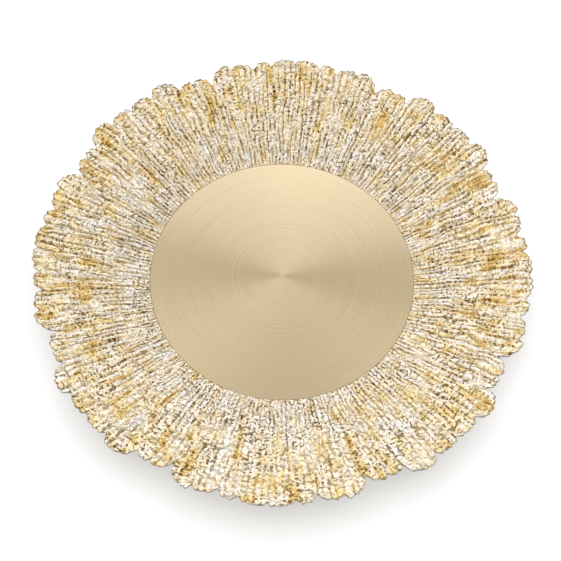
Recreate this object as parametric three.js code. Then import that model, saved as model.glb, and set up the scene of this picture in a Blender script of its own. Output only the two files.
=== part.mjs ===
// Reef-rim serving plate: a moulded plate with a ribbed, scalloped rim round a flat well, and a thin
// brushed disc bonded into the well. Millimetres, +Z up, the foot ring stands on z = 0.
import * as THREE from 'three';

// Sizes of the plate as a whole
const CREST_RADIUS = 165; // axis to the lobes that reach farthest
const RIM_RISE = 21.5; // disc face to the rim's mean surface at the crest radius
const RIM_FLARE = 0.25; // how much steeper than its mean slope the rim leaves the well
const RIM_WALL = 2.6; // rim thickness below its mean surface
const EDGE_THICKNESS = 1.7; // thickness of the scalloped edge itself

// Well, recess and foot ring
const DISC_RADIUS = 88.5;
const DISC_THICKNESS = 0.8;
const DISC_CHAMFER = 0.25;
const DISC_CLEARANCE = 0.3; // round the disc, in its recess
const FILM_THICKNESS = 0.2;
const FILM_INSET = 1.5; // film edge inside the disc edge
const FLOOR_THICKNESS = 2.4;
const FOOT_INSET = 10.8; // wall of the recess to the outside of the foot ring
const FOOT_WIDTH = 4;
const FOOT_HEIGHT = 2;
const FOOT_DRAFT = 0.6; // each flank of the foot ring leans this far out of the mould

// Ribs and lobes of the rim
const RIB_PITCH = 5.3; // between ribs, halfway up the rim
const RIB_HEIGHT = 1.5; // valley to ridge
const RIB_STEP = 0.8; // mean height of the rib ends above the disc face
const RIB_FADE = 0.45; // share of the rib height that is left at the edge
const RIB_NOTCH = 0.5; // edge set back at each valley between ribs
const LOBE_DOME = 1.3; // each lobe swells by this much at the edge
const ROW_SPACING = 10; // between rows of points up the rim
const UNDER_ROWS = [0.55, 0.15]; // shares of the rim's width where its underside has points

// The scalloped edge repeats two motifs in turn, each mirrored about its middle. A half motif lists its
// lobes from the deep notch to the middle: a width in degrees of arc, and how far the lobe's crest and
// the notch that ends it lie inside the crest circle.
const MOTIF_COUNT = 8;
const DEEP_NOTCH = 13;
const EVEN_MOTIF = [
  { width: 6, crest: 3, notch: 4.5 },
  { width: 5.6, crest: 3, notch: 7.4 },
  { width: 4.6, crest: 2.7, notch: 5.4 },
  { width: 6.3, crest: 1.5, notch: 3 },
];
const TWIN_MOTIF = [
  { width: 4.8, crest: 7, notch: 8 },
  { width: 3.7, crest: 6.5, notch: 9.2 },
  { width: 7.8, crest: 0, notch: 5.2 },
  { width: 6.2, crest: 2.3, notch: 5 },
];

const FACETS = 120; // round the turned pieces

const floorTop = FOOT_HEIGHT + FLOOR_THICKNESS;
const discBottom = floorTop + FILM_THICKNESS;
const discTop = discBottom + DISC_THICKNESS;
const wellRadius = DISC_RADIUS + DISC_CLEARANCE;
const rimWidth = CREST_RADIUS - wellRadius;
const footOuter = wellRadius - FOOT_INSET;
const footInner = footOuter - FOOT_WIDTH;

// Height of the rim's mean surface: it leaves the well steeply and flattens towards the edge.
function rimHeight(radius) {
  const t = (radius - wellRadius) / rimWidth;
  const climb = RIM_RISE - RIB_STEP;
  return discTop + RIB_STEP + climb * t * (1 + RIM_FLARE * (1 - t));
}

// Both halves of a motif as lobes with a notch at each end.
function motifLobes(half) {
  const firstHalf = half.map((lobe, i) => ({
    width: lobe.width,
    crest: lobe.crest,
    from: i === 0 ? DEEP_NOTCH : half[i - 1].notch,
    to: lobe.notch,
  }));
  const secondHalf = firstHalf.map((lobe) => ({ ...lobe, from: lobe.to, to: lobe.from })).reverse();
  return [...firstHalf, ...secondHalf];
}

// Two columns for each rib of a lobe, its valley and its ridge. A lobe holds a whole number of ribs.
function lobeColumns(lobe, start, angle) {
  const midRadius = (wellRadius + CREST_RADIUS) / 2;
  const ribs = Math.max(1, Math.round((angle * midRadius) / RIB_PITCH));
  const swell = (lobe.from + lobe.to) / 2 - lobe.crest;
  return Array.from({ length: 2 * ribs }, (_, i) => {
    const along = i / (2 * ribs);
    const round = Math.sqrt(1 - (2 * along - 1) ** 2);
    const isRidge = i % 2 === 1;
    const setBack = THREE.MathUtils.lerp(lobe.from, lobe.to, along) - swell * round;
    return {
      angle: start + along * angle,
      reach: CREST_RADIUS - setBack - (isRidge ? 0 : RIB_NOTCH),
      relief: (isRidge ? 0.5 : -0.5) * RIB_HEIGHT,
      dome: LOBE_DOME * round,
    };
  });
}

// All columns round the plate. The even motifs are centred on the X and Y axes.
function rimColumns() {
  const motifAngle = (2 * Math.PI) / MOTIF_COUNT;
  const columns = [];
  for (let motif = 0; motif < MOTIF_COUNT; motif++) {
    const lobes = motifLobes(motif % 2 ? TWIN_MOTIF : EVEN_MOTIF);
    const totalWidth = lobes.reduce((sum, lobe) => sum + lobe.width, 0);
    let start = (motif - 0.5) * motifAngle;
    for (const lobe of lobes) {
      const angle = (motifAngle * lobe.width) / totalWidth;
      columns.push(...lobeColumns(lobe, start, angle));
      start += angle;
    }
  }
  return columns;
}

// Closed section of the plate at one column, from the recess floor over the rim and back under it.
function plateSection(column) {
  const rows = Math.ceil(rimWidth / ROW_SPACING);
  const at = (t) => wellRadius + t * (column.reach - wellRadius);
  const section = [[wellRadius, floorTop]];
  for (let row = 0; row <= rows; row++) {
    const t = row / rows;
    const ribs = column.relief * THREE.MathUtils.lerp(1, RIB_FADE, t);
    section.push([at(t), rimHeight(at(t)) + ribs + column.dome * t * t]);
  }
  const edgeHeight = section.at(-1)[1];
  section.push([column.reach, edgeHeight - EDGE_THICKNESS]);
  for (const t of UNDER_ROWS) {
    section.push([at(t), rimHeight(at(t)) - RIM_WALL]);
  }
  section.push(
    [wellRadius + RIM_WALL, FOOT_HEIGHT],
    [footOuter + FOOT_DRAFT, FOOT_HEIGHT],
    [footOuter, 0],
    [footInner, 0],
    [footInner - FOOT_DRAFT, FOOT_HEIGHT],
  );
  return section;
}

// Skins a ring of sections into one closed body, with a point on the axis at each end.
function skinRound(columns, sectionOf, firstHeight, lastHeight) {
  const sections = columns.map(sectionOf);
  const rows = sections[0].length;
  const positions = [];
  columns.forEach((column, c) => {
    for (const [radius, height] of sections[c]) {
      positions.push(radius * Math.cos(column.angle), radius * Math.sin(column.angle), height);
    }
  });
  const first = columns.length * rows;
  const last = first + 1;
  positions.push(0, 0, firstHeight, 0, 0, lastHeight);

  const faces = [];
  for (let c = 0; c < columns.length; c++) {
    const here = c * rows;
    const next = ((c + 1) % columns.length) * rows;
    faces.push(first, here, next);
    for (let r = 0; r < rows - 1; r++) {
      faces.push(here + r, here + r + 1, next + r + 1);
      faces.push(here + r, next + r + 1, next + r);
    }
    faces.push(last, next + rows - 1, here + rows - 1);
  }
  const geometry = new THREE.BufferGeometry();
  geometry.setAttribute('position', new THREE.Float32BufferAttribute(positions, 3));
  geometry.setIndex(faces);
  return geometry;
}

// Revolves a section given as radius and height pairs about the Z axis.
function revolve(section) {
  const points = section.map(([radius, height]) => new THREE.Vector2(radius, height));
  return new THREE.LatheGeometry(points, FACETS).rotateX(Math.PI / 2);
}

function namedMesh(name, geometry, look) {
  geometry.computeVertexNormals();
  const mesh = new THREE.Mesh(geometry, new THREE.MeshStandardMaterial(look));
  mesh.name = name;
  return mesh;
}

// Moulded plate: rim, well floor with the recess, and foot ring.
function reefPlate() {
  const geometry = skinRound(rimColumns(), plateSection, floorTop, FOOT_HEIGHT);
  return namedMesh('reef_plate', geometry, { color: 0xd8c48e, metalness: 0.85, roughness: 0.3 });
}

// Bonding film on the recess floor.
function adhesiveFilm() {
  const radius = DISC_RADIUS - FILM_INSET;
  const geometry = revolve([
    [0, 0],
    [radius, 0],
    [radius, FILM_THICKNESS],
    [0, FILM_THICKNESS],
  ]);
  const film = namedMesh('disc_adhesive_film', geometry, { color: 0xe6e0d0, metalness: 0, roughness: 0.6 });
  film.position.z = floorTop;
  return film;
}

// Brushed disc with a broken edge.
function centreDisc() {
  const geometry = revolve([
    [0, 0],
    [DISC_RADIUS, 0],
    [DISC_RADIUS, DISC_THICKNESS - DISC_CHAMFER],
    [DISC_RADIUS - DISC_CHAMFER, DISC_THICKNESS],
    [0, DISC_THICKNESS],
  ]);
  const look = { color: 0xcdb888, metalness: 0.95, roughness: 0.35 };
  const disc = namedMesh('brushed_centre_disc', geometry, look);
  disc.position.z = discBottom;
  return disc;
}

const plate = new THREE.Group();
plate.name = 'reef_rim_plate';
plate.add(reefPlate(), adhesiveFilm(), centreDisc());

export default plate;
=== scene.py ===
import math

import bpy
import numpy as np
from mathutils import Matrix, Vector


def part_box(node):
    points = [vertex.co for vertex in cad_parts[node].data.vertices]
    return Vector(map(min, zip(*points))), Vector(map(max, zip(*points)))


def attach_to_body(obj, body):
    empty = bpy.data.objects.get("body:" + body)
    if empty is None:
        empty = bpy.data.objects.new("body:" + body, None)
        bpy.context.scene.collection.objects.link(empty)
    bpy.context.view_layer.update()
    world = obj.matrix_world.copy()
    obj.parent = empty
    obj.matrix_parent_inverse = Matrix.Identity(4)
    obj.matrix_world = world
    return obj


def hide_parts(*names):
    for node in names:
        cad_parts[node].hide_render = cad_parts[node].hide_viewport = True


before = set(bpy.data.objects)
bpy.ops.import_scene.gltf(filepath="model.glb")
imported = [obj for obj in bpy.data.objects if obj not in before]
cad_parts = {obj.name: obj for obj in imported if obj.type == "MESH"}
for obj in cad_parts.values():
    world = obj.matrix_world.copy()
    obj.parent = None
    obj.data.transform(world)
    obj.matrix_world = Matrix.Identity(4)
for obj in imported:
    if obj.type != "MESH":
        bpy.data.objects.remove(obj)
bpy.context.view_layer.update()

# Camera
# It looks down on the plate from the front, a little to the right of its axis, with a longish lens.
# The distance is from the middle of the disc, and the aim lies just left of and nearer than that.
VIEW_ELEVATION = math.radians(62.98)
VIEW_AZIMUTH = math.radians(1.85)
VIEW_ROLL = math.radians(1.5)
VIEW_DISTANCE = 0.738
AIM_OFFSET = Vector((-0.0008, -0.0036, 0))
FIELD_OF_VIEW = math.radians(28.61)


def add_object(name, data):
    """Puts a camera, a lamp or a mesh into the scene."""
    made = bpy.data.objects.new(name, data)
    bpy.context.scene.collection.objects.link(made)
    return made


def aimed(place, direction):
    """Place and turn of a camera or a lamp that looks in a direction."""
    return Matrix.Translation(place) @ direction.to_track_quat("-Z", "Y").to_matrix().to_4x4()


disc_low, disc_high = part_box("brushed_centre_disc")
disc_radius = disc_high[0]
disc_bottom = disc_low[2]
disc_top = disc_high[2]
disc_middle = Vector((0, 0, disc_top))
toward_camera = Vector((
    math.sin(VIEW_AZIMUTH) * math.cos(VIEW_ELEVATION),
    -math.cos(VIEW_AZIMUTH) * math.cos(VIEW_ELEVATION),
    math.sin(VIEW_ELEVATION),
))
camera_place = disc_middle + VIEW_DISTANCE * toward_camera
camera_data = bpy.data.cameras.new("camera")
camera_data.angle = FIELD_OF_VIEW
camera = add_object("camera", camera_data)
look = disc_middle + AIM_OFFSET - camera_place
camera.matrix_world = aimed(camera_place, look) @ Matrix.Rotation(VIEW_ROLL, 4, "Z")
bpy.context.scene.camera = camera


# Reef plate
# One moulding: a wide rim of irregular ribs that ends in a scalloped edge, the floor of the well, and
# a low foot ring. It is metallised in bright silver under a gold lacquer that pools between the ribs.
RIM_RISE = 0.0215
RIM_FLARE = 0.25  # how much steeper than its mean slope the rim leaves the well
RIM_WALL = 0.0026
EDGE_THICKNESS = 0.0017
FLOOR_THICKNESS = 0.0024
FOOT_HEIGHT = 0.002
FOOT_INSET = 0.0108
FOOT_WIDTH = 0.004
FOOT_DRAFT = 0.0006
DISC_CLEARANCE = 0.0003
LIP_GAP = 0.00005  # the rim's inner lip lies this far off the disc
RIB_COUNT = 235
FURROW_SHARPNESS = 2.5  # higher is narrower

# Rings of points on the plate, each with a share: 0 at the well, 1 at the edge
COLUMNS = 1440
RIM_ROWS = 48
ROW_CROWDING = 1.1  # above 1 the rows lie closer together by the well
EDGE_RINGS = ((0.0, 0.35), (0.0001, 0.7), (0.0004, 1.0))  # set back, and share of the thickness
UNDER_INSET = 0.0008
UNDER_SHARES = (0.9, 0.55, 0.15)  # where the underside of the rim has rings
EDGE_SIDE = 2.0  # share on the side of the edge
OFF_RIM = -1.0  # share on everything but the rim
PLATE_CREASE = math.radians(50)

# How the scalloped edge is read from the solid
EDGE_BEYOND = 1.5  # the edge is all that lies farther out than this many well radii
COLUMN_GAP = math.radians(0.3)  # points less than this apart belong to one corner
RADIUS_DIGITS = 5  # radii are compared to 0.01 mm
CORNER_EASE = 0.5

# Colours of the finish, from bare silver to thick lacquer, then its marks (the umber partly painted
# shade), the painted shade on its edge, and its underside
SILVER = (0.915, 0.89, 0.83, 1)
CREAM = (0.925, 0.835, 0.67, 1)
TAN = (0.90, 0.74, 0.44, 1)
GOLD = (0.82, 0.575, 0.22, 1)
BRONZE = (0.64, 0.40, 0.12, 1)
AMBER = (0.50, 0.33, 0.085, 1)
UMBER_AND_SHADE = (0.17, 0.105, 0.021, 1)
SHADE = (0.08, 0.055, 0.03, 1)
PLAIN = (0.87, 0.76, 0.55, 1)
LACQUER_COVER = 0.8  # how far each thicker coat hides the one below
MARK_DEPTH = 0.0006

well_radius = disc_radius + DISC_CLEARANCE
floor_top = FOOT_HEIGHT + FLOOR_THICKNESS


def rim_height(radius):
    """Height of the rim's mean surface, steep by the well and flatter at the edge."""
    t = (radius - well_radius) / (crest_radius - well_radius)
    return disc_top + LIP_GAP + RIM_RISE * t * (1 + RIM_FLARE * (1 - t))


def turn_of(points):
    """Angles round the axis. They start just below 0, so that the corner at 0 stays whole."""
    return (np.arctan2(points[:, 1], points[:, 0]) + COLUMN_GAP) % (2 * math.pi) - COLUMN_GAP


def outermost(point):
    """Sorts points by radius, and by height where the radius is the same."""
    return round(math.hypot(point[0], point[1]), RADIUS_DIGITS), point[2]


def edge_corners():
    """Angle, radius and height of the solid's scalloped top edge, corner by corner."""
    points = np.array([tuple(v.co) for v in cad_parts["reef_plate"].data.vertices])
    points = points[np.hypot(points[:, 0], points[:, 1]) > EDGE_BEYOND * well_radius]
    turn = turn_of(points)
    order = np.argsort(turn)
    breaks = np.flatnonzero(np.diff(turn[order]) > COLUMN_GAP) + 1
    edge = np.array([max(column, key=outermost) for column in np.split(points[order], breaks)])
    return np.maximum(turn_of(edge), 0), np.hypot(edge[:, 0], edge[:, 1]), edge[:, 2]


def round_trip(angles, corners, values):
    """Values between the corners of the edge, eased a little so that the corners are rounded."""
    place = np.searchsorted(corners, angles, side="right") - 1
    after = (place + 1) % len(corners)
    gap = (corners[after] - corners[place]) % (2 * math.pi)
    share = ((angles - corners[place]) % (2 * math.pi)) / gap
    ease = share * share * (3 - 2 * share)
    return values[place] + (values[after] - values[place]) * (
        (1 - CORNER_EASE) * share + CORNER_EASE * ease
    )


# The heights of neighbouring corners are averaged, because the relief has its own ribs.
angles = np.arange(COLUMNS) * 2 * math.pi / COLUMNS
corner_turn, corner_reach, corner_height = edge_corners()
crest_radius = corner_reach.max()
corner_dome = corner_height - rim_height(corner_reach)
corner_dome = (np.roll(corner_dome, 1) + 2 * corner_dome + np.roll(corner_dome, -1)) / 4
reach = round_trip(angles, corner_turn, corner_reach)
dome = round_trip(angles, corner_turn, corner_dome)


def plate_rows():
    """Rings from the recess floor over the rim and back under it: radius, height and share."""
    even = np.ones(COLUMNS)
    off_rim = even * OFF_RIM
    rows = [
        (even * well_radius, even * floor_top, off_rim),
        (even * well_radius, even * (disc_top - DISC_CLEARANCE), off_rim),
        (even * (disc_radius + LIP_GAP), even * (disc_top + LIP_GAP), even * 0),
    ]
    for step in range(1, RIM_ROWS + 1):
        t = (step / RIM_ROWS) ** ROW_CROWDING
        radius = well_radius + t * (reach - well_radius)
        rows.append((radius, rim_height(radius) + dome * t * t, even * t))
    edge = rim_height(reach) + dome
    for inset, drop in EDGE_RINGS:
        rows.append((reach - inset, edge - drop * EDGE_THICKNESS, even * EDGE_SIDE))
    rows.append((reach - UNDER_INSET, edge - EDGE_THICKNESS, off_rim))
    for t in UNDER_SHARES:
        radius = well_radius + t * (reach - well_radius)
        rows.append((radius, rim_height(radius) - RIM_WALL, off_rim))
    foot_outer = well_radius - FOOT_INSET
    foot_inner = foot_outer - FOOT_WIDTH
    for radius, height in (
        (well_radius + RIM_WALL, FOOT_HEIGHT),
        (foot_outer + FOOT_DRAFT, FOOT_HEIGHT),
        (foot_outer, 0),
        (foot_inner, 0),
        (foot_inner - FOOT_DRAFT, FOOT_HEIGHT),
    ):
        rows.append((even * radius, even * height, off_rim))
    return rows


def ring_mesh(name, turns, rows, first_height, last_height, crease):
    """Closed mesh through rings of points, with a point on the axis at each end."""
    count = len(turns)
    verts = [(0, 0, first_height)]
    shares = [OFF_RIM]
    for radius, height, share in rows:
        verts.extend(zip(radius * np.cos(turns), radius * np.sin(turns), height))
        shares.extend(share)
    verts.append((0, 0, last_height))
    shares.append(OFF_RIM)
    faces = []
    for c in range(count):
        n = (c + 1) % count
        faces.append((0, 1 + c, 1 + n))
        for r in range(len(rows) - 1):
            start = 1 + r * count
            faces.append((start + c, start + count + c, start + count + n, start + n))
        last_ring = 1 + (len(rows) - 1) * count
        faces.append((len(verts) - 1, last_ring + n, last_ring + c))
    mesh = bpy.data.meshes.new(name)
    mesh.from_pydata(verts, [], faces)
    mesh.attributes.new("rim_share", "FLOAT", "POINT").data.foreach_set("value", shares)
    mesh.shade_smooth()
    mesh.set_sharp_from_angle(angle=crease)
    return add_object(name, mesh)


def both_ways(operation):
    """An operator for wires, and its reflected form for a plain number on the left."""
    def plain(wire, other):
        return wire.math(operation, wire, other)

    def reflected(wire, other):
        return wire.math(operation, other, wire)

    return plain, reflected


class Wire:
    """A socket of a node tree. Arithmetic on wires adds Math nodes."""

    __add__, __radd__ = both_ways("ADD")
    __sub__, __rsub__ = both_ways("SUBTRACT")
    __mul__, __rmul__ = both_ways("MULTIPLY")
    __truediv__, __rtruediv__ = both_ways("DIVIDE")
    __pow__, __rpow__ = both_ways("POWER")

    def __init__(self, tree, socket=None):
        self.tree = tree
        self.socket = socket

    def node(self, kind, settings=None, inputs=None, output=0):
        """Adds a node, sets its settings and then its sockets, and gives one of its outputs."""
        made = self.tree.nodes.new(kind)
        for name, value in (settings or {}).items():
            setattr(made, name, value)
        for name, value in (inputs or {}).items():
            if isinstance(value, Wire):
                self.tree.links.new(value.socket, made.inputs[name])
            else:
                made.inputs[name].default_value = value
        return Wire(self.tree, made.outputs[output])

    def other(self, output):
        """Another output of the node that this wire comes from."""
        return Wire(self.tree, self.socket.node.outputs[output])

    def math(self, operation, *values):
        return self.node("ShaderNodeMath", {"operation": operation}, dict(enumerate(values)))

    def __abs__(self):
        return self.math("ABSOLUTE", self)

    def floor(self):
        return self.math("FLOOR", self)

    def most(self, other):
        return self.math("MAXIMUM", self, other)

    def rise(self, low, high):
        """0 below low, 1 above high and a smooth step between."""
        settings = {"interpolation_type": "SMOOTHSTEP"}
        inputs = {"Value": self, "From Min": low, "From Max": high}
        return self.node("ShaderNodeMapRange", settings, inputs)

    def parts(self):
        """The three numbers of a vector."""
        made = self.node("ShaderNodeSeparateXYZ", None, {0: self})
        return made, made.other(1), made.other(2)

    def vector(self, x, y, z):
        return self.node("ShaderNodeCombineXYZ", None, {"X": x, "Y": y, "Z": z})

    def off_axis(self, x, y):
        """Distance from the plate's axis."""
        return self.math("SQRT", x * x + y * y)

    def noise(self, place, scale, detail=2.0, roughness=0.5):
        inputs = {"Vector": place, "Scale": scale, "Detail": detail, "Roughness": roughness}
        return self.node("ShaderNodeTexNoise", None, inputs)

    def blend(self, factor, first, second):
        """Mixes two colours."""
        inputs = {"Factor": factor, 6: first, 7: second}
        return self.node("ShaderNodeMix", {"data_type": "RGBA"}, inputs, output=2)


class Reef:
    """The reef's pattern seen from above: rows of furrows along the radius that sway, open and close."""

    SWAY = 1.6  # how far rows wander sideways, in rows
    UNEVEN = 1.6  # how far rows are pushed together and apart, in rows
    ROW_STRIDE = 7.31  # keeps the noise of one row apart from the next

    def __init__(self, wire, x, y):
        self.wire = wire
        self.radius = wire.off_axis(x, y)
        self.flat = wire.vector(x, y, 0.0)
        rows_per_radian = RIB_COUNT / (2 * math.pi)
        sway = (wire.noise(self.flat, scale=70.0, detail=3.0, roughness=0.55) - 0.5) * self.SWAY
        turn = wire.math("ARCTAN2", y, x) + sway / rows_per_radian
        self.east = wire.math("COSINE", turn) * rows_per_radian
        self.north = wire.math("SINE", turn) * rows_per_radian
        uneven = (self.streaks(share=18.0, length=0.06) - 0.5) * self.UNEVEN
        row = wire.math("WRAP", turn * rows_per_radian + uneven, float(RIB_COUNT), 0.0)
        self.index = row.floor()
        self.off_furrow = abs(row - self.index - 0.5) * 2
        self.open = self.along(length=0.014, seed=1.0).rise(0.4, 0.58)
        self.lumps = wire.noise(self.flat, scale=150.0, detail=1.0) - 0.5
        self.swell = self.streaks(share=15.0, length=0.04) - 0.5

    def streaks(self, share, length):
        """Soft noise drawn out along the radius; a share of 1 is one blot for each radian."""
        turn = share * 2 * math.pi / RIB_COUNT
        place = self.wire.vector(self.east * turn, self.north * turn, self.radius / length)
        return self.wire.noise(place, scale=1.0, detail=1.0)

    def pebbles(self, length, seed):
        """Long pebbles that lie along the rows: how far from their borders, 0 to about 0.5."""
        place = self.wire.vector(self.east, self.north, self.radius / length + seed)
        inputs = {"Vector": place, "Scale": 1.0}
        return self.wire.node("ShaderNodeTexVoronoi", {"feature": "DISTANCE_TO_EDGE"}, inputs)

    def along(self, length, seed):
        """Noise that runs along each row by itself."""
        place = self.wire.vector(self.index * self.ROW_STRIDE, self.radius / length, seed)
        return self.wire.noise(place, scale=1.0, detail=0.0)


def reef_relief_tree():
    """Geometry nodes that press the furrows into the rim and nibble its edge."""
    tree = bpy.data.node_groups.new("reef_relief", "GeometryNodeTree")
    tree.interface.new_socket("Geometry", in_out="OUTPUT", socket_type="NodeSocketGeometry")
    tree.interface.new_socket("Geometry", in_out="INPUT", socket_type="NodeSocketGeometry")
    for name, value in (
        ("Furrow Depth", 0.0009),
        ("Swell Height", 0.0018),
        ("Lump Height", 0.0009),
        ("Nibble", 0.0013),
    ):
        socket = tree.interface.new_socket(name, in_out="INPUT", socket_type="NodeSocketFloat")
        socket.default_value = value
    finish = tree.interface.new_socket("Finish", in_out="INPUT", socket_type="NodeSocketMaterial")
    given = tree.nodes.new("NodeGroupInput")
    wire = Wire(tree)
    take = {s.name: Wire(tree, s) for s in given.outputs if s.name}

    x, y, _ = wire.node("GeometryNodeInputPosition").parts()
    reef = Reef(wire, x, y)
    named = {"data_type": "FLOAT"}
    share = wire.node("GeometryNodeInputNamedAttribute", named, {"Name": "rim_share"}, output="Attribute")
    furrow = (1 - reef.off_furrow) ** FURROW_SHARPNESS
    height = reef.swell * take["Swell Height"] + reef.lumps * take["Lump Height"]
    height = height - furrow * reef.open * take["Furrow Depth"]
    height = height * share.rise(0.0, 0.06) * (1 - share.rise(0.9, 1.0) * 0.4)
    nibble = furrow * share.rise(0.93, 1.0) * take["Nibble"] / reef.radius
    lift = wire.vector(0 - x * nibble, 0 - y * nibble, height)

    inputs = {"Geometry": take["Geometry"], "Offset": lift}
    geometry = wire.node("GeometryNodeSetPosition", None, inputs)
    geometry = wire.node("GeometryNodeRealizeInstances", None, {"Geometry": geometry})
    inputs = {"Geometry": geometry, "Material": take["Finish"]}
    geometry = wire.node("GeometryNodeSetMaterial", None, inputs)
    result = tree.nodes.new("NodeGroupOutput")
    tree.links.new(geometry.socket, result.inputs[0])
    return tree, finish.identifier


def new_material(name):
    """An empty material: its wire, and the shader that ends it."""
    material = bpy.data.materials.new(name)
    material.use_nodes = True
    tree = material.node_tree
    return material, Wire(tree), tree.nodes["Principled BSDF"]


def attach(wire, shader, **links):
    """Feeds wires or plain values to the shader's sockets."""
    for name, value in links.items():
        socket = shader.inputs[name.replace("_", " ")]
        if isinstance(value, Wire):
            wire.tree.links.new(value.socket, socket)
        else:
            socket.default_value = value


def lacquer(wire, reef):
    """Bright silver that turns to cream, tan, gold and bronze where the lacquer is thicker."""
    outward = reef.radius.rise(0.1, 0.14)
    patches = wire.noise(reef.flat, scale=90.0, detail=4.0, roughness=0.65)
    thick = patches * 0.6 + reef.streaks(share=50.0, length=0.013) * 0.4
    thick = thick + 0.03 + outward * 0.08 - reef.swell * 0.4
    colour = wire.blend(thick.rise(0.41, 0.56), SILVER, CREAM)
    for start, full, tint in ((0.57, 0.64, TAN), (0.65, 0.72, GOLD), (0.71, 0.79, BRONZE)):
        colour = wire.blend(thick.rise(start, full) * LACQUER_COVER, colour, tint)
    return colour


def reef_finish():
    """Lacquered silver with gold in the furrows, fine lines and rows of dark pits.
    Towards the front the furrows are painted paler (painted light) and the pits painted closer together
    (painted shade)."""
    material, wire, shader = new_material("reef_gold")
    x, y, _ = wire.node("ShaderNodeTexCoord", output="Object").parts()
    reef = Reef(wire, x, y)
    share = wire.node("ShaderNodeAttribute", {"attribute_name": "rim_share"}, output="Fac")
    above = share.rise(-0.01, 0.0)
    on_rim = above * (1 - share.rise(1.02, 1.05))
    # Painted light and shade: towards the front the furrow lines and pools are painted paler, more dark
    # flecks are painted, and the edge's side is painted darker.
    near = (0 - y).rise(0.05, 0.12)

    line = (1 - reef.off_furrow.rise(0.05, 0.28)) * reef.open * (1 - near * 0.7)
    pool = (1 - reef.off_furrow.rise(0.1, 0.6)) * (reef.open * 0.3 + 0.2) * (1 - near * 0.6)
    ends = (1 - share.rise(0.01, 0.05)) * (1 - reef.off_furrow.rise(0.3, 0.7)) * 0.5
    long_pebble = reef.pebbles(length=0.012, seed=3.0)
    short_pebble = reef.pebbles(length=0.0042, seed=17.0)
    seam = 1 - long_pebble.rise(0.0, 0.12)
    grain = wire.noise(reef.flat, scale=700.0, detail=2.0, roughness=0.65)
    busy = wire.noise(reef.flat, scale=50.0, detail=2.0).rise(0.35, 0.6) * 0.7 + 0.3
    chain = reef.along(length=0.0016, seed=9.0)
    hollow = chain.rise(0.5, 0.6) * (1 - reef.off_furrow.rise(0.2, 0.55))
    # The pits are painted dark umber, partly as their own colour and partly as painted shade in their
    # hollows.
    pit = chain.rise(0.555, 0.6) * (1 - reef.off_furrow.rise(0.16, 0.28)) * busy
    fleck = (reef.streaks(share=48.0, length=0.0016) + near * 0.02).rise(0.61, 0.65) * busy

    colour = lacquer(wire, reef)
    for mark, strength, tint in (
        (pool.most(ends), 1.0, GOLD),
        (seam, 0.15, AMBER),
        (line, 0.28, AMBER),
        (grain.rise(0.56, 0.68), 0.38, AMBER),
        (pit.most(fleck * 0.85), 0.95, UMBER_AND_SHADE),
    ):
        colour = wire.blend(mark * strength * on_rim, colour, tint)
    colour = wire.blend((1 - above) * (0.85 + grain * 0.2), colour, PLAIN)
    # Painted shade: a band along the top of the edge and the edge's side are darkened, the side more
    # towards the front.
    edge = share.rise(0.98, 0.995) * 0.5 + share.rise(1.1, 1.6) * (0.45 + near * 0.4)
    colour = wire.blend(edge, colour, SHADE)

    height = grain * 0.5 + long_pebble.rise(0.0, 0.25) * 0.45 + short_pebble.rise(0.0, 0.25) * 0.55
    height = (height - line * 0.45 - pit.most(fleck) - hollow * 0.25) * on_rim
    inputs = {"Strength": 1.0, "Distance": MARK_DEPTH, "Height": height}
    normal = wire.node("ShaderNodeBump", None, inputs)
    attach(wire, shader, Base_Color=colour, Metallic=1.0, Roughness=0.3, Normal=normal)
    return material


plate = ring_mesh("reef_plate_shell", angles, plate_rows(), floor_top, FOOT_HEIGHT, PLATE_CREASE)
tree, finish_input = reef_relief_tree()
relief = plate.modifiers.new("relief", "NODES")
relief.node_group = tree
relief[finish_input] = reef_finish()
evaluated = plate.evaluated_get(bpy.context.evaluated_depsgraph_get())
plate.data = bpy.data.meshes.new_from_object(evaluated)
plate.modifiers.remove(relief)
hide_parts("reef_plate")
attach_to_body(plate, "root")


# Brushed centre disc
# A thin gold-coloured metal disc, brushed on a turntable so that its fine lines run in circles.
# Its edge is broken, and a bonding film holds it in its recess.
DISC_CHAMFER = 0.00025
DISC_COLUMNS = 360
DISC_CREASE = math.radians(15)
BRUSH_LINES = 2200.0  # along the radius, for each metre
BRUSH_DRIFT = 12.0  # how fast the lines change round the disc, for each metre
BRUSH_DEPTH = 0.00006
LINE_DARK = (0.775, 0.615, 0.37, 1)
LINE_LIGHT = (0.835, 0.665, 0.41, 1)


def disc_rows():
    """Rings of the disc, over its broken edge and down its side."""
    even = np.ones(DISC_COLUMNS)
    return [
        (even * radius, even * height, even * OFF_RIM)
        for radius, height in (
            (disc_radius - DISC_CHAMFER, disc_top),
            (disc_radius, disc_top - DISC_CHAMFER),
            (disc_radius, disc_bottom),
        )
    ]


def disc_finish():
    """Champagne gold, with the fine circular scratches of the brush."""
    material, wire, shader = new_material("brushed_gold")
    x, y, _ = wire.node("ShaderNodeTexCoord", output="Object").parts()
    radius = wire.off_axis(x, y)
    place = wire.vector(x * BRUSH_DRIFT, y * BRUSH_DRIFT, radius * BRUSH_LINES)
    rings = wire.noise(place, scale=1.0, detail=3.0, roughness=0.6)
    colour = wire.blend(rings.rise(0.3, 0.7), LINE_DARK, LINE_LIGHT)
    inputs = {"Strength": 0.25, "Distance": BRUSH_DEPTH, "Height": rings}
    normal = wire.node("ShaderNodeBump", None, inputs)
    attach(
        wire, shader, Base_Color=colour, Metallic=1.0, Roughness=0.21, Anisotropic=0.88,
        Anisotropic_Rotation=0.25, Coat_Weight=0.4, Coat_Roughness=0.25, Normal=normal,
    )
    return material


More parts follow.
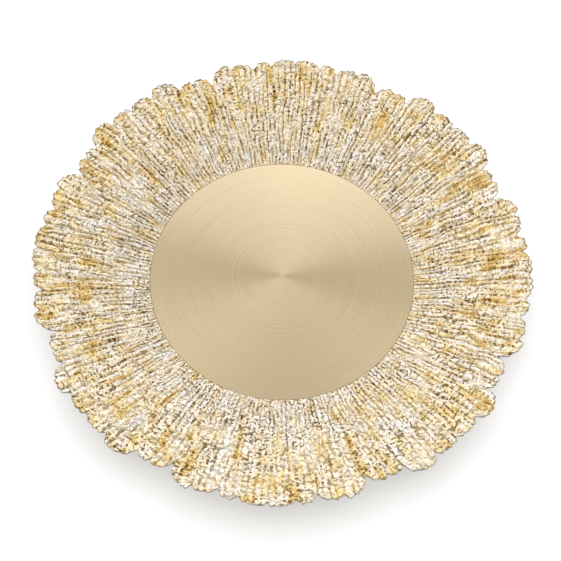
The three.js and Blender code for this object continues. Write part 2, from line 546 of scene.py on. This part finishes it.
turns = np.arange(DISC_COLUMNS) * 2 * math.pi / DISC_COLUMNS
disc = ring_mesh("brushed_disc", turns, disc_rows(), disc_top, disc_bottom, DISC_CREASE)
disc.data.materials.append(disc_finish())
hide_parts("brushed_centre_disc")
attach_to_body(disc, "root")


# Adhesive film
# A thin milky bonding film, pressed flat between the disc and the recess floor. It keeps the solid's
# own mesh, because the disc hides all of it.
FILM_DEEP = (0.76, 0.72, 0.62, 1)
FILM_PALE = (0.84, 0.81, 0.74, 1)


def film_finish():
    """Milky, with the cloudy blots of a film that was pressed flat."""
    material, wire, shader = new_material("adhesive")
    place = wire.node("ShaderNodeTexCoord", output="Object")
    cloud = wire.noise(place, scale=60.0, detail=4.0, roughness=0.6)
    colour = wire.blend(cloud.rise(0.35, 0.65), FILM_DEEP, FILM_PALE)
    attach(wire, shader, Base_Color=colour, Roughness=0.35 + cloud * 0.3)
    return material


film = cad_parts["disc_adhesive_film"]
film.data.materials.clear()
film.data.materials.append(film_finish())


# Floor and light
# A white floor under a large soft lamp that lights only the floor. The plate mirrors a bright tent: it is
# dark and warm high at the front, dim low at the back, and has a cool strip of light across the back.
FLOOR_SIZE = 6.0
FLOOR_GREY = (0.3, 0.3, 0.3, 1)
FLOOR_GLOW = 0.43
FLOOR_FADE = (0.4, 0.9)  # pure white from the second radius on
LAMP_PLACE = Vector((0.0, 0.25, 1.2))
LAMP_SIZE = 2.2
LAMP_POWER = 50.0
TENT_LEVEL = 1.03
STRIP_LEVEL = 1.33
BACK_DIM = 0.19
WEDGE_DIM = 0.4
FRONT_DIM = 0.8
LOW_DIM = 0.5
RIGHT_DIM = 0.12
SIDES_GAIN = 0.6
WHITE = (1, 1, 1, 1)
COOL = (0.98, 1.03, 1.2, 1)
WARM = (1, 0.73, 0.40, 1)

bpy.context.scene.view_settings.view_transform = "Standard"


def floor_finish():
    """Diffuse with a glow of its own by the plate, and plain white farther out."""
    material, wire, shader = new_material("white_floor")
    wire.tree.nodes.remove(shader)
    x, y, _ = wire.node("ShaderNodeTexCoord", output="Object").parts()
    far = wire.off_axis(x, y).rise(*FLOOR_FADE)
    path = wire.node("ShaderNodeLightPath")
    seen = path.other("Is Camera Ray").most(path.other("Is Glossy Ray"))
    diffuse = wire.node("ShaderNodeBsdfDiffuse", None, {"Color": FLOOR_GREY}, output="BSDF")
    glow = wire.node("ShaderNodeEmission", None, {"Strength": seen * FLOOR_GLOW}, output="Emission")
    near = wire.node("ShaderNodeAddShader", None, {0: diffuse, 1: glow})
    white = wire.node("ShaderNodeEmission", None, {"Strength": 1.0}, output="Emission")
    both = wire.node("ShaderNodeMixShader", None, {0: far * seen, 1: near, 2: white})
    wire.tree.links.new(both.socket, wire.tree.nodes["Material Output"].inputs["Surface"])
    return material


half = FLOOR_SIZE / 2
floor_mesh = bpy.data.meshes.new("floor")
floor_mesh.from_pydata(
    [(-half, -half, 0), (half, -half, 0), (half, half, 0), (-half, half, 0)], [], [(0, 1, 2, 3)]
)
floor_mesh.materials.append(floor_finish())
floor = add_object("floor", floor_mesh)

lamp_data = bpy.data.lights.new("key_light", "AREA")
lamp_data.shape = "SQUARE"
lamp_data.size = LAMP_SIZE
lamp_data.energy = LAMP_POWER
lamp = add_object("key_light", lamp_data)
lamp.matrix_world = aimed(LAMP_PLACE, -LAMP_PLACE)
lamp.visible_glossy = False


def studio_world():
    """What the plate mirrors from each direction. The camera itself sees white.
    The wedge lies just behind overhead, and the strip runs right across the back."""
    world = bpy.data.worlds.new("studio")
    world.use_nodes = True
    wire = Wire(world.node_tree)
    background = world.node_tree.nodes["Background"]
    x, y, z = wire.node("ShaderNodeTexCoord", output="Generated").parts()
    beside = abs(x)
    wedge = (1 - (beside / y.most(0.1)).rise(0.13, 0.49)) * y.rise(0.0, 0.25) * (1 - y.rise(0.45, 0.55))
    high = z.rise(0.5, 0.75) * (1 - beside.rise(0.5, 0.75))
    front = (x * 0.4 - y).rise(0.1, 0.45) * high
    low = (1 - z.rise(0.12, 0.55)) * y.rise(0.2, 0.5) * (1 - beside.rise(0.2, 0.5))
    warm = ((0 - y).rise(-0.05, 0.4) * high).most(low * 0.5)
    strip = y.rise(0.54, 0.6) * (1 - y.rise(0.7, 0.78))
    strip_light = strip * (1.3 - beside.rise(0.03, 0.12) * 0.3)
    sides = beside.rise(0.1, 0.35) * y.rise(-0.05, 0.1) * (1 - y.rise(0.22, 0.44))
    right = x.rise(0.2, 0.6)

    tent = TENT_LEVEL - y.rise(-0.12, 0.08) * BACK_DIM - wedge * WEDGE_DIM + sides * SIDES_GAIN
    tent = tent * (1 - front * FRONT_DIM) * (1 - low * LOW_DIM) * (1 - right * RIGHT_DIM)
    tent = tent + strip_light * STRIP_LEVEL
    camera_ray = wire.node("ShaderNodeLightPath", output="Is Camera Ray")
    strength = tent + camera_ray * (1 - tent)
    wire.tree.links.new(strength.socket, background.inputs["Strength"])
    colour = wire.blend(strip * 0.8, WHITE, COOL)
    colour = wire.blend(warm, colour, WARM)
    colour = wire.blend(camera_ray, colour, WHITE)
    wire.tree.links.new(colour.socket, background.inputs["Color"])
    return world


bpy.context.scene.world = studio_world()
